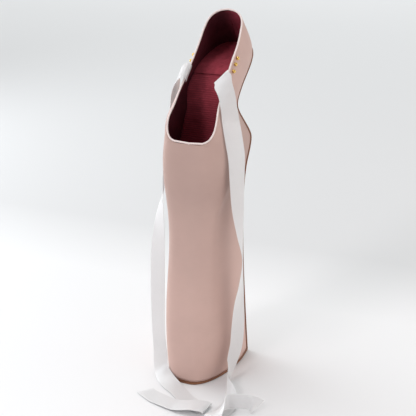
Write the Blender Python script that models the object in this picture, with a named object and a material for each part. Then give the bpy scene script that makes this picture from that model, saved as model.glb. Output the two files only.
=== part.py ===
"""Platform ballet heel, left shoe.

The foot stands almost on its toes on a tall block. There is no heel: the heel seat
overhangs behind the block. One leather upper runs unbroken from the topline down to
the floor, a thin leather outsole runs from the toe of the base up the back of the block
and along the arch to the heel seat, and a ribbon tie hangs from each side.

Frame: +Z up, the toe points to -Y, the lateral side is +X and the medial side is -X.
The origin is on the floor, under the middle of the base. Tables and sizes are in
millimetres and are scaled to metres where the meshes are made. In the side view,
"forward" is measured from the back edge of the base towards the toe.
"""
import math

import bmesh
import bpy
import numpy as np
from mathutils import Vector

MM = 0.001

# Driving sizes
BASE_LENGTH = 117.5
BASE_MIDDLE = BASE_LENGTH / 2
SEAT_END = (-69.0, 469.5)
COLLAR_TOP = (-23.0, 525.0)
THROAT = (123.0, 377.0)
LEATHER = 2.0
BASE_SOLE = 3.5
BACK_SOLE = 2.6
INSOLE = 3.0
HEEL_SOCK = 1.2
GAP = 0.3
STUD_RADIUS = 2.6
STUD_FLAT = 1.5
RIBBON_WIDTH = 24.0
RIBBON_THICK = 0.8
SLANT_LIMIT = 0.6

# How finely the forms are divided
RING_STEPS = 40
PATH_STEPS = 2
RIBBON_STEPS = 2
STUD_SEGMENTS = 12
STUD_RINGS = 7
WIDE = 90.0

# Level sections of the last and block: front and back are the furthest points forward
# and back, wide_at is where the section is widest, medial and lateral are its half
# widths there, toe_shift moves the front point sideways, and the three powers say how
# square the medial front, the lateral front and the back are.
SECTION_COLUMNS = ("height", "front", "back", "wide_at", "medial", "lateral",
                   "toe_shift", "power_medial", "power_lateral", "power_back")
SECTIONS = (
    (0.0, BASE_LENGTH, -90.0, 22.0, 48.5, 42.0, -9.0, 3.6, 2.0, 3.0),
    (60.0, 113.0, -85.0, 22.0, 49.0, 40.5, -10.0, 4.8, 2.4, 3.0),
    (140.0, 109.0, -80.0, 24.0, 47.5, 39.0, -10.0, 4.8, 2.7, 3.0),
    (220.0, 107.0, -75.0, 28.0, 44.0, 38.5, -8.0, 4.5, 2.9, 3.0),
    (270.0, 110.5, -75.0, 32.0, 45.5, 39.0, -6.0, 4.5, 3.0, 3.0),
    (320.0, 118.0, -75.0, 36.0, 48.5, 40.5, -4.0, 4.6, 3.4, 3.0),
    (352.0, 122.0, -66.0, 42.0, 48.0, 41.5, -2.0, 4.6, 4.0, 2.8),
    (377.0, THROAT[0], -47.0, 60.0, 43.5, 38.5, -1.0, 4.6, 4.6, 2.2),
    (400.0, 122.5, -28.0, 78.0, 42.0, 35.5, 0.0, 3.2, 4.8, 1.8),
    (415.0, 121.0, -42.0, 64.0, 41.5, 32.5, 0.0, 2.1, 4.4, 1.9),
    (430.0, 118.0, -62.0, 42.0, 40.0, 31.0, 0.0, 1.8, 4.0, 2.1),
    (447.0, 112.0, -76.0, 10.0, 36.0, 31.0, 0.0, 1.9, 3.0, 2.4),
    (469.5, 95.0, -69.0, -12.0, 31.5, 31.5, 0.0, 2.1, 2.1, 2.5),
    (495.0, 72.0, -49.0, -9.0, 28.5, 28.5, 0.0, 2.1, 2.1, 2.4),
    (516.0, 56.0, -31.0, 0.0, 25.0, 25.0, 0.0, 2.1, 2.1, 2.2),
    (540.0, 48.0, -11.0, 12.0, 20.0, 20.0, 0.0, 2.1, 2.1, 2.2),
)
ROW_HEIGHTS = (-6, 0, 20, 45, 75, 110, 145, 180, 210, 235, 258, 280, 300, 320, 336, 352,
               364, 376, 388, 400, 412, 424, 436, 448, 459, 469.5, 482, 495, 508, 519, 530, 540)

# Outer face of the outsole in the side view, from the base up the back of the block,
# round the ledge under the ball, into the waist and along the arch to the heel seat. Side
# view tables give (forward, height).
SOLE_PATH = (
    (0.0, 0.0), (2.0, 20.0), (6.0, 60.0), (11.0, 112.0), (15.5, 160.0), (18.5, 205.0),
    (19.5, 250.0), (18.0, 288.0), (10.0, 318.0), (-3.0, 339.0), (-10.0, 352.0),
    (-5.0, 363.0), (4.0, 377.0), (9.0, 391.0), (6.0, 404.0), (-7.0, 418.0),
    (-27.0, 434.0), (-46.0, 449.0), SEAT_END, (-92.0, 492.0),
)

# Top face of the insole in the side view, from behind the heel seat, down the steep arch
# of the raised foot, and forward under the toes.
FOOTBED_PATH = (
    (-84.0, 484.0), (-68.0, 473.5), (-52.0, 467.0), (-34.0, 462.0), (-16.0, 458.0),
    (2.0, 453.0), (16.0, 446.0), (27.0, 436.0), (35.5, 423.0), (41.0, 408.0),
    (44.5, 391.0), (46.0, 372.0), (48.0, 353.0), (54.0, 336.0), (66.0, 322.0),
    (84.0, 310.0), (106.0, 298.0), (134.0, 284.0),
)
SOCK_SEAM_HEIGHT = 443.0

# Edge of the opening in the side view, from behind the heel to the middle of the throat.
TOPLINE_PATH = (
    (-46.0, 547.0), COLLAR_TOP, (-14.0, 516.0), (0.0, 502.0), (16.0, 486.0), (35.0, 471.0),
    (54.0, 456.0), (74.0, 439.0), (95.0, 420.0), (110.5, 402.5), (116.5, 391.0),
    (120.0, 383.0), THROAT, (128.0, 366.0),
)

# Middle of each stud's seat in the side view.
STUDS = ((26.0, 469.0), (34.0, 462.5), (42.0, 455.0))

# Ribbon ties, as stations of the centre line (forward, side, height) with the direction
# across the band there: sewn inside below the edge, folded over it, hanging to the floor and
# folded on the floor. The side grows outward, so that both ties read the same way.
LATERAL_RIBBON = (
    (51.5, 27.0, 438.5, 0.77, -0.02, -0.64),
    (57.0, 23.0, 445.5, 0.74, -0.14, -0.66),
    (62.4, 21.3, 452.3, 0.54, -0.56, -0.63),
    (67.0, 25.2, 449.5, 0.60, -0.60, -0.52),
    (73.6, 29.2, 443.2, 0.66, -0.64, -0.36),
    (81.0, 36.0, 433.4, 0.76, -0.63, -0.12),
    (88.2, 41.8, 418.2, 0.76, -0.65, 0.00),
    (92.4, 46.2, 400.5, 0.66, -0.75, 0.04),
    (90.2, 49.4, 377.5, 0.64, -0.77, 0.04),
    (85.2, 51.6, 350.0, 0.70, -0.71, 0.00),
    (83.0, 51.8, 318.0, 0.82, -0.57, 0.00),
    (82.0, 52.8, 280.0, 0.92, -0.39, 0.00),
    (80.5, 56.0, 240.0, 1.00, 0.00, 0.00),
    (79.8, 59.5, 205.0, 0.95, 0.30, 0.00),
    (78.5, 57.5, 165.0, 1.00, 0.09, 0.00),
    (76.5, 54.0, 130.0, 0.96, -0.26, 0.00),
    (74.0, 51.6, 90.0, 0.86, -0.51, 0.00),
    (73.0, 49.8, 62.0, 0.84, -0.54, 0.04),
    (76.0, 48.0, 45.0, 0.80, -0.52, 0.28),
    (81.2, 45.6, 31.0, 0.66, -0.34, 0.67),
    (87.0, 44.0, 20.0, 0.34, -0.10, 0.93),
    (94.5, 44.0, 13.4, 0.05, 0.03, 1.00),
    (104.0, 46.4, 12.5, 0.00, 0.03, 1.00),
    (114.0, 49.6, 12.4, 0.01, 0.10, 0.99),
    (124.8, 57.2, 10.8, 0.05, 0.50, 0.87),
    (136.2, 64.2, 5.8, 0.18, 0.88, 0.43),
    (147.0, 64.6, 1.8, 0.26, 0.96, 0.04),
    (160.0, 61.5, 1.0, 0.27, 0.96, 0.00),
    (178.0, 57.5, 1.0, 0.27, 0.96, 0.00),
    (188.0, 55.5, 1.6, 0.27, 0.96, 0.00),
    (193.0, 54.0, 6.0, 0.27, 0.96, 0.00),
    (188.0, 56.0, 10.6, 0.25, 0.95, 0.10),
    (176.0, 59.5, 13.2, 0.15, 0.75, 0.64),
    (164.0, 62.5, 15.0, 0.03, 0.20, 0.98),
    (156.5, 65.0, 15.0, 0.00, 0.00, 1.00),
    (153.6, 70.0, 15.0, 0.00, 0.00, 1.00),
    (151.4, 77.5, 15.0, 0.00, 0.00, 1.00),
    (148.0, 88.0, 14.6, 0.00, 0.00, 1.00),
    (146.6, 95.0, 13.4, -0.06, 0.00, 1.00),
    (146.2, 100.5, 11.8, -0.40, 0.28, 0.87),
    (143.5, 105.5, 7.2, -0.72, 0.52, 0.46),
)
MEDIAL_RIBBON = (
    (56.8, 26.7, 449.2, 0.78, 0.02, -0.62),
    (59.2, 25.9, 453.8, 0.78, 0.04, -0.62),
    (61.0, 30.0, 456.4, 0.78, 0.03, -0.62),
    (61.3, 35.5, 453.6, 0.78, 0.02, -0.62),
    (60.8, 40.0, 448.1, 0.80, 0.00, -0.60),
    (60.5, 43.0, 438.5, 0.90, 0.03, -0.43),
    (61.0, 45.0, 426.0, 0.97, 0.08, -0.22),
    (62.5, 47.5, 406.0, 0.99, 0.00, -0.15),
    (66.0, 51.0, 380.0, 0.98, -0.10, -0.15),
    (71.0, 55.0, 350.0, 0.97, -0.22, -0.06),
    (78.0, 55.5, 318.0, 0.98, -0.18, 0.00),
    (82.0, 57.5, 285.0, 0.93, -0.36, 0.00),
    (86.0, 62.0, 250.0, 0.64, -0.77, 0.00),
    (90.0, 65.0, 205.0, 0.25, -0.97, 0.00),
    (91.5, 66.5, 150.0, 0.10, -0.99, 0.00),
    (93.5, 67.0, 100.0, 0.18, -0.98, 0.00),
    (95.0, 66.2, 60.0, 0.20, -0.98, 0.00),
    (98.0, 63.2, 30.0, 0.10, -0.98, 0.10),
    (106.0, 59.6, 14.6, -0.15, -0.84, 0.52),
    (116.0, 52.3, 8.4, -0.48, -0.62, 0.62),
    (127.5, 38.2, 4.2, -0.66, -0.70, 0.28),
    (140.0, 18.0, 1.8, -0.76, -0.65, 0.04),
    (154.5, -1.5, 1.0, -0.91, -0.41, 0.00),
    (163.0, -20.0, 1.0, -0.98, -0.20, 0.00),
    (167.0, -34.0, 1.4, -0.98, -0.18, 0.00),
    (168.5, -39.5, 4.6, -0.98, -0.18, 0.00),
    (170.0, -34.0, 8.0, -0.98, -0.17, 0.00),
    (173.5, -19.0, 9.0, -0.99, -0.12, 0.00),
    (175.5, -6.0, 6.4, -0.99, -0.06, 0.00),
    (174.5, 8.0, 3.2, -1.00, 0.04, 0.00),
    (171.0, 24.0, 2.4, -0.99, 0.14, 0.00),
    (166.0, 42.0, 1.6, -0.96, 0.28, 0.00),
    (161.5, 52.5, 1.2, -0.97, -0.10, 0.00),
    (156.0, 62.3, 1.0, -0.70, -0.72, 0.00),
)


def spline_table(rows, heights):
    """Natural cubic spline through a table's rows, read at the given first-column values."""
    table = np.array(rows, float)
    knots, values = table[:, 0], table[:, 1:]
    step = np.diff(knots)
    slope = np.diff(values, axis=0) / step[:, None]
    count = len(knots)
    matrix = np.eye(count)
    right = np.zeros_like(values)
    for i in range(1, count - 1):
        matrix[i, i - 1:i + 2] = step[i - 1], 2 * (step[i - 1] + step[i]), step[i]
        right[i] = 6 * (slope[i] - slope[i - 1])
    bend = np.linalg.solve(matrix, right)
    result = []
    for height in heights:
        i = int(np.clip(np.searchsorted(knots, height) - 1, 0, count - 2))
        low, high = (height - knots[i]) / step[i], (knots[i + 1] - height) / step[i]
        result.append(high * values[i] + low * values[i + 1]
                      + ((high ** 3 - high) * bend[i] + (low ** 3 - low) * bend[i + 1])
                      * step[i] ** 2 / 6)
    return np.array(result)


def section_at(height):
    """Named sizes of the level section at one height."""
    held = min(max(height, SECTIONS[0][0]), SECTIONS[-1][0])
    return dict(zip(SECTION_COLUMNS[1:], spline_table(SECTIONS, [held])[0]))


def ring(height, inset):
    """Closed level outline, as (forward, side) pairs, drawn in by inset from the outer face."""
    size = section_at(height)
    front, back = size["front"] - inset, size["back"] + 1.2 * inset
    points = []
    for step in range(RING_STEPS):
        angle = 2 * math.pi * step / RING_STEPS
        along, across = math.cos(angle), math.sin(angle)
        name = "lateral" if across >= 0 else "medial"
        power = size["power_" + name] if along >= 0 else size["power_back"]
        reach = front - size["wide_at"] if along >= 0 else size["wide_at"] - back
        share = abs(along) ** (2 / power)
        forward = size["wide_at"] + math.copysign(reach * share, along)
        side = math.copysign((size[name] - inset) * abs(across) ** (2 / power), across)
        points.append((forward, side + size["toe_shift"] * (share if along > 0 else 0)))
    return points


def half_width(forward, height, name):
    """Distance from the middle plane to the outer face, on the named side."""
    size = section_at(height)
    if forward >= size["wide_at"]:
        share = (forward - size["wide_at"]) / (size["front"] - size["wide_at"])
        power = size["power_" + name]
    else:
        share = (size["wide_at"] - forward) / (size["wide_at"] - size["back"])
        power = size["power_back"]
    return size[name] * max(0.0, 1 - min(share, 1.0) ** power) ** (1 / power)


def place(forward, side, height):
    """Point in the object's frame, in metres."""
    return Vector((side, BASE_MIDDLE - forward, height)) * MM


def smooth_path(points, steps):
    """Catmull-Rom curve through the points, with the given number of steps a span."""
    rows = [np.array(point, float) for point in points]
    rows = [2 * rows[0] - rows[1]] + rows + [2 * rows[-1] - rows[-2]]
    result = []
    for a, b, c, d in zip(rows, rows[1:], rows[2:], rows[3:]):
        for step in range(steps):
            t = step / steps
            result.append(0.5 * (2 * b + (c - a) * t + (2 * a - 5 * b + 4 * c - d) * t ** 2
                                 + (3 * b - a - 3 * c + d) * t ** 3))
    return result + [rows[-2]]


def offset_path(points, distance):
    """Side-view path moved sideways, to the right of its direction for a positive distance."""
    points = [np.array(point, float) for point in points]
    moved = []
    for i, point in enumerate(points):
        before = points[i] - points[max(i - 1, 0)] if i else points[1] - points[0]
        after = points[i + 1] - points[i] if i + 1 < len(points) else before
        tangents = [vector / np.linalg.norm(vector) for vector in (before, after)]
        middle = tangents[0] + tangents[1]
        middle = middle / np.linalg.norm(middle)
        stretch = 1 / max(0.5, float(middle @ tangents[0]))
        moved.append(point + distance * stretch * np.array((middle[1], -middle[0])))
    return moved


def material(name, colour, roughness, metallic=0.0):
    """Principled material of one colour."""
    made = bpy.data.materials.new(name)
    made.use_nodes = True
    shader = made.node_tree.nodes["Principled BSDF"]
    shader.inputs["Base Color"].default_value = (*colour, 1.0)
    shader.inputs["Roughness"].default_value = roughness
    shader.inputs["Metallic"].default_value = metallic
    return made


def add_object(name, mesh_data, finish=None, smooth=True):
    """Object from a bmesh, with its faces turned outward."""
    bmesh.ops.recalc_face_normals(mesh_data, faces=mesh_data.faces)
    mesh = bpy.data.meshes.new(name)
    mesh_data.to_mesh(mesh)
    mesh_data.free()
    if smooth:
        mesh.shade_smooth()
        mesh.set_sharp_from_angle(angle=math.radians(40))
    made = bpy.data.objects.new(name, mesh)
    bpy.context.scene.collection.objects.link(made)
    if finish:
        mesh.materials.append(finish)
    return made


def loft(name, inset, finish=None):
    """Closed body through every level ring, drawn in by inset."""
    shape = bmesh.new()
    rings = [[shape.verts.new(place(forward, side, height))
              for forward, side in ring(height, inset)] for height in ROW_HEIGHTS]
    for low, high in zip(rings, rings[1:]):
        for i in range(RING_STEPS):
            j = (i + 1) % RING_STEPS
            shape.faces.new((low[i], low[j], high[j], high[i]))
    shape.faces.new(list(reversed(rings[0])))
    shape.faces.new(rings[-1])
    return add_object(name, shape, finish)


def side_prism(name, outline):
    """Cutter: a side-view outline carried straight across the whole width."""
    shape = bmesh.new()
    near = [shape.verts.new(place(forward, -WIDE, height)) for forward, height in outline]
    far = [shape.verts.new(place(forward, WIDE, height)) for forward, height in outline]
    shape.faces.new(near)
    shape.faces.new(list(reversed(far)))
    for i in range(len(outline)):
        j = (i + 1) % len(outline)
        shape.faces.new((near[i], far[i], far[j], near[j]))
    return guide(add_object(name, shape, smooth=False))


def guide(helper):
    """Mark a helper body that only cuts other bodies."""
    helper.hide_render = True
    helper.display_type = "WIRE"
    return helper


def cut(target, cutter, operation="DIFFERENCE"):
    """Boolean modifier that stays on the target."""
    modifier = target.modifiers.new(cutter.name, "BOOLEAN")
    modifier.operation = operation
    modifier.object = cutter
    return target


def sole_line(base_thickness, back_thickness):
    """Side-view line at the given depths inside the outsole's outer face, toe to heel seat."""
    path = smooth_path(SOLE_PATH, PATH_STEPS)
    rising = [point for point in offset_path(path, back_thickness)
              if point[1] > base_thickness + 1.0]
    corner = (rising[0][0] - 0.1, base_thickness)
    return [(200.0, base_thickness), corner] + [tuple(point) for point in rising]


def footbed_line(depth):
    """Side-view line at the given depth below the insole's top face, heel seat to toes."""
    return [tuple(point) for point in offset_path(smooth_path(FOOTBED_PATH, PATH_STEPS), depth)]


def below_sole(name, gap):
    """Cutter for all that lies under or behind the outsole's inner face, with a gap."""
    line = sole_line(BASE_SOLE + gap, BACK_SOLE + gap)
    return side_prism(name, line + [(-150.0, 560.0), (-150.0, -30.0), (200.0, -30.0)])


def make_upper(finish):
    """One hollow leather shell, open at the topline, and at the back and base for the outsole."""
    upper = loft("upper", 0.0, finish)
    cut(upper, guide(loft_core("guide_inside_upper", LEATHER)))
    cut(upper, below_sole("guide_sole_for_upper", GAP))
    topline = [tuple(point) for point in smooth_path(TOPLINE_PATH, PATH_STEPS)]
    cut(upper, side_prism("guide_opening", topline + [(200.0, 600.0), (-46.0, 600.0)]))
    return upper


def loft_core(name, inset):
    """Inner form of the last and block, a little longer than the outer one at both ends."""
    inner = loft(name, inset)
    low, high = ROW_HEIGHTS[0] * MM, ROW_HEIGHTS[-1] * MM
    for vertex in inner.data.vertices:
        if vertex.co.z < low + MM:
            vertex.co.z = low - 5 * MM
        if vertex.co.z > high - MM:
            vertex.co.z = high + 5 * MM
    return inner


def make_outsole(finish):
    """One strip of sole leather: base, back of the block, ledge, arch and heel seat."""
    outsole = loft("outsole", 0.0, finish)
    outer = [(200.0, 0.0)] + [tuple(point) for point in smooth_path(SOLE_PATH, PATH_STEPS)]
    inner = sole_line(BASE_SOLE, BACK_SOLE)
    return cut(outsole, side_prism("guide_sole_strip", outer + list(reversed(inner))), "INTERSECT")


def make_platform(finish):
    """Solid block inside the leather, from the outsole up to the underside of the insole."""
    platform = loft("platform_block", LEATHER + 2 * GAP, finish)
    cut(platform, below_sole("guide_sole_for_block", GAP))
    room = footbed_line(INSOLE + GAP) + [(200.0, 620.0), (-WIDE, 620.0)]
    return cut(platform, side_prism("guide_foot_room", room))


def footbed_layer(name, top, bottom, finish, lowest=0.0):
    """Layer between two depths of the footbed, fitted to the inside of the upper."""
    layer = loft(name, LEATHER + GAP, finish)
    kept = sum(1 for point in footbed_line(0.0) if point[1] >= lowest)
    outline = footbed_line(top)[:kept] + list(reversed(footbed_line(bottom)[:kept]))
    cut(layer, side_prism("guide_" + name, outline), "INTERSECT")
    return cut(layer, below_sole("guide_sole_for_" + name, GAP))


def make_insole(finish):
    """Insole from the heel seat, over the arch and the ball, down to the toes."""
    return footbed_layer("insole", 0.0, INSOLE, finish)


def make_heel_sock(finish):
    """Thin padded sock over the heel seat, ending in a straight seam across the arch."""
    return footbed_layer("heel_sock", -HEEL_SOCK - GAP, -GAP, finish, SOCK_SEAM_HEIGHT)


def wall_point(forward, height, name):
    """Point on the outer face of the upper, with the side counted outward, and its normal."""
    here = np.array((forward, half_width(forward, height, name), height))
    ahead = half_width(forward + 1.0, height, name) - here[1]
    above = half_width(forward, height + 1.0, name) - here[1]
    normal = np.array((-ahead, 1.0, -above))
    return here, normal / np.linalg.norm(normal)


def make_stud(name, side_name, seat, finish):
    """Ball stud with a small flat where it meets the leather."""
    sign = 1 if side_name == "lateral" else -1
    here, normal = wall_point(seat[0], seat[1], side_name)
    along = np.cross(normal, (0.0, 0.0, 1.0))
    along = along / np.linalg.norm(along)
    up = np.cross(normal, along)
    middle = here + normal * (GAP + STUD_FLAT)
    low = math.acos(-STUD_FLAT / STUD_RADIUS)
    shape = bmesh.new()
    rings = []
    for ring_step in range(STUD_RINGS):
        tilt = low * (1 - ring_step / STUD_RINGS)
        radius, rise = STUD_RADIUS * math.sin(tilt), STUD_RADIUS * math.cos(tilt)
        row = []
        for step in range(STUD_SEGMENTS):
            angle = 2 * math.pi * step / STUD_SEGMENTS
            point = middle + normal * rise
            point = point + (along * math.cos(angle) + up * math.sin(angle)) * radius
            row.append(shape.verts.new(place(point[0], sign * point[1], point[2])))
        rings.append(row)
    top = middle + normal * STUD_RADIUS
    pole = shape.verts.new(place(top[0], sign * top[1], top[2]))
    for low_ring, high_ring in zip(rings, rings[1:]):
        for i in range(STUD_SEGMENTS):
            j = (i + 1) % STUD_SEGMENTS
            shape.faces.new((low_ring[i], low_ring[j], high_ring[j], high_ring[i]))
    for i in range(STUD_SEGMENTS):
        shape.faces.new((rings[-1][i], rings[-1][(i + 1) % STUD_SEGMENTS], pole))
    shape.faces.new(rings[0])
    return add_object(name, shape, finish)


def make_ribbon(name, stations, sign, finish):
    """Flat band swept through its stations, as one closed solid."""
    rows = smooth_path(stations, RIBBON_STEPS)
    shape = bmesh.new()
    corners = []
    for i, row in enumerate(rows):
        along = rows[min(i + 1, len(rows) - 1)][:3] - rows[max(i - 1, 0)][:3]
        along = along / np.linalg.norm(along)
        across = row[3:] / np.linalg.norm(row[3:])
        through = np.cross(along, across)
        slant = max(float(np.linalg.norm(through)), SLANT_LIMIT)
        across = across * RIBBON_WIDTH / 2 / slant
        through = through / np.linalg.norm(through) * RIBBON_THICK / 2
        corner_row = []
        for point in (row[:3] + across + through, row[:3] - across + through,
                      row[:3] - across - through, row[:3] + across - through):
            corner_row.append(shape.verts.new(place(point[0], sign * point[1], point[2])))
        corners.append(corner_row)
    for near, far in zip(corners, corners[1:]):
        for a, b in ((0, 1), (3, 2)):
            shape.faces.new((near[a], near[b], far[b]))
            shape.faces.new((near[a], far[b], far[a]))
        for a, b in ((1, 2), (3, 0)):
            shape.faces.new((near[a], near[b], far[b], far[a]))
    shape.faces.new(list(reversed(corners[0])))
    shape.faces.new(corners[-1])
    return add_object(name, shape, finish)


def main():
    for old in list(bpy.data.objects):
        bpy.data.objects.remove(old, do_unlink=True)
    blush = material("blush_leather", (0.60, 0.40, 0.36), 0.50)
    brown = material("sole_leather", (0.22, 0.09, 0.035), 0.45)
    cork = material("block_board", (0.50, 0.40, 0.28), 0.80)
    wine = material("wine_suede", (0.12, 0.012, 0.022), 0.85)
    make_upper(blush)
    make_outsole(brown)
    make_platform(cork)
    make_insole(wine)
    make_heel_sock(wine)
    gold = material("polished_gold", (0.83, 0.60, 0.20), 0.22, 1.0)
    satin = material("white_satin", (0.80, 0.80, 0.82), 0.35)
    for side_name in ("lateral", "medial"):
        for number, seat in enumerate(STUDS, 1):
            make_stud("stud_" + side_name + "_" + str(number), side_name, seat, gold)
    make_ribbon("ribbon_lateral", LATERAL_RIBBON, 1, satin)
    make_ribbon("ribbon_medial", MEDIAL_RIBBON, -1, satin)


main()
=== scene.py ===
import math

import bmesh
import bpy
import numpy as np
from bpy.props import FloatProperty, FloatVectorProperty, PointerProperty
from bpy.types import Operator, Panel, PropertyGroup
from mathutils import Matrix, Vector


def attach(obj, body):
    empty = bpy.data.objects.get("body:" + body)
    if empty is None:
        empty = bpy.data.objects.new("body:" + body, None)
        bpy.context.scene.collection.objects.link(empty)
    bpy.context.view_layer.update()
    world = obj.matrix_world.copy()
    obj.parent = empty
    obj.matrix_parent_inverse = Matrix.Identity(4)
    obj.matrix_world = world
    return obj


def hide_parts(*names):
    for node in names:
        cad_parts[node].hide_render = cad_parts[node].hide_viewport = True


bl_info = {
    "name": "Platform ballet heel",
    "version": (1, 0, 0),
    "blender": (4, 5, 0),
    "location": "View3D > Sidebar > Ballet heel",
    "description": "Leather, lining, sole, studs and satin ties of a very tall ballet heel",
    "category": "Object",
}

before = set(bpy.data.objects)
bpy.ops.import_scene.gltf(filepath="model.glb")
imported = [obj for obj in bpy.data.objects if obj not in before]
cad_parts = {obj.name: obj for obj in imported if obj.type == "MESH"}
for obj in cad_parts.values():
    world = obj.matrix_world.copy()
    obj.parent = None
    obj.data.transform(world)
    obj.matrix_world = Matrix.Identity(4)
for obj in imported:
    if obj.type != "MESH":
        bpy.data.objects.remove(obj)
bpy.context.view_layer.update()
MM = 0.001

# The forms below are in millimetres. In the side view, "forward" is measured from the back
# edge of the base towards the toe, and the side is positive on the lateral side.
SIDES = {"lateral": 1.0, "medial": -1.0}
BASE_LENGTH = 117.5
BASE_MIDDLE = BASE_LENGTH / 2
SEAT_END = (-69.0, 469.5)
COLLAR_TOP = (-23.0, 525.0)
THROAT = (123.0, 377.0)
LEDGE_HEIGHT = 352.0
WALL = 2.0
BASE_SOLE = 3.5
BACK_SOLE = 2.6
INSOLE = 3.0
HEEL_PAD = 1.2
SOLE_LIP = 1.4
GAP = 0.3
# For an inset of the sides, the heel's back moves in by this much more.
BACK_INSET = 1.2
# The leather's edge and the middle of its fold lie this far under the topline.
RIM_DROP = 0.6
FOLD_DROP = 0.95

# Level sections of the last and block: front and back are the furthest points forward
# and back, wide_at is where the section is widest, medial and lateral are its half
# widths there, toe_shift moves the front point sideways, and the three powers say how
# square the medial front, the lateral front and the back are.
SECTION_COLUMNS = ("height", "front", "back", "wide_at", "medial", "lateral",
                   "toe_shift", "power_medial", "power_lateral", "power_back")
SECTIONS = (
    (0.0, BASE_LENGTH, -90.0, 22.0, 48.5, 42.0, -9.0, 3.6, 2.0, 3.0),
    (60.0, 113.0, -85.0, 22.0, 49.0, 40.5, -10.0, 4.8, 2.4, 3.0),
    (140.0, 109.0, -80.0, 24.0, 47.5, 39.0, -10.0, 4.8, 2.7, 3.0),
    (220.0, 107.0, -75.0, 28.0, 44.0, 38.5, -8.0, 4.5, 2.9, 3.0),
    (270.0, 110.5, -75.0, 32.0, 45.5, 39.0, -6.0, 4.5, 3.0, 3.0),
    (320.0, 118.0, -75.0, 36.0, 48.5, 40.5, -4.0, 4.6, 3.4, 3.0),
    (352.0, 122.0, -66.0, 42.0, 48.0, 41.5, -2.0, 4.6, 4.0, 2.8),
    (377.0, THROAT[0], -47.0, 60.0, 43.5, 38.5, -1.0, 4.6, 4.6, 2.2),
    (400.0, 122.5, -28.0, 78.0, 42.0, 35.5, 0.0, 3.2, 4.8, 1.8),
    (415.0, 121.0, -42.0, 64.0, 41.5, 32.5, 0.0, 2.1, 4.4, 1.9),
    (430.0, 118.0, -62.0, 42.0, 40.0, 31.0, 0.0, 1.8, 4.0, 2.1),
    (447.0, 112.0, -76.0, 10.0, 36.0, 31.0, 0.0, 1.9, 3.0, 2.4),
    (469.5, 95.0, -69.0, -12.0, 31.5, 31.5, 0.0, 2.1, 2.1, 2.5),
    (495.0, 72.0, -49.0, -9.0, 28.5, 28.5, 0.0, 2.1, 2.1, 2.4),
    (516.0, 56.0, -31.0, 0.0, 25.0, 25.0, 0.0, 2.1, 2.1, 2.2),
    (540.0, 48.0, -11.0, 12.0, 20.0, 20.0, 0.0, 2.1, 2.1, 2.2),
)

# Side-view lines, as (forward, height): the outsole's outer face, the insole's top face
# and the edge of the opening.
SOLE_PATH = (
    (0.0, 0.0), (2.0, 20.0), (6.0, 60.0), (11.0, 112.0), (15.5, 160.0), (18.5, 205.0),
    (19.5, 250.0), (18.0, 288.0), (10.0, 318.0), (-3.0, 339.0), (-10.0, 352.0),
    (-5.0, 363.0), (4.0, 377.0), (9.0, 391.0), (6.0, 404.0), (-7.0, 418.0),
    (-27.0, 434.0), (-46.0, 449.0), SEAT_END, (-92.0, 492.0),
)
FOOTBED_PATH = (
    (-84.0, 484.0), (-68.0, 473.5), (-52.0, 467.0), (-34.0, 462.0), (-16.0, 458.0),
    (2.0, 453.0), (16.0, 446.0), (27.0, 436.0), (35.5, 423.0), (41.0, 408.0),
    (44.5, 391.0), (46.0, 372.0), (48.0, 353.0), (54.0, 336.0), (66.0, 322.0),
    (84.0, 310.0), (106.0, 298.0), (134.0, 284.0),
)
TOPLINE_PATH = (
    (-46.0, 547.0), COLLAR_TOP, (-14.0, 516.0), (0.0, 502.0), (16.0, 486.0), (35.0, 471.0),
    (54.0, 456.0), (74.0, 439.0), (95.0, 420.0), (110.5, 402.5), (116.5, 391.0),
    (120.0, 383.0), THROAT, (128.0, 366.0),
)

# The heel pad's run is its rough length. It ends at a seam, and thins towards it over a
# feather, down to a share of its thickness just above the insole.
PAD_SEAM_HEIGHT = 443.0
PAD_RUN = 110.0
PAD_FEATHER = 16.0
PAD_EDGE_LIFT = 0.04
PAD_EDGE_SHARE = 0.03
# The heel pad is painted darker than the insole, as the shade that the medial wall casts over it
PAD_PAINTED_SHADE = 0.66

# Middle of each stud's seat in the side view, and how far its centre stands off.
STUDS = ((26.0, 469.0), (34.0, 462.5), (42.0, 455.0))
STUD_STAND = 1.8

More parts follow.
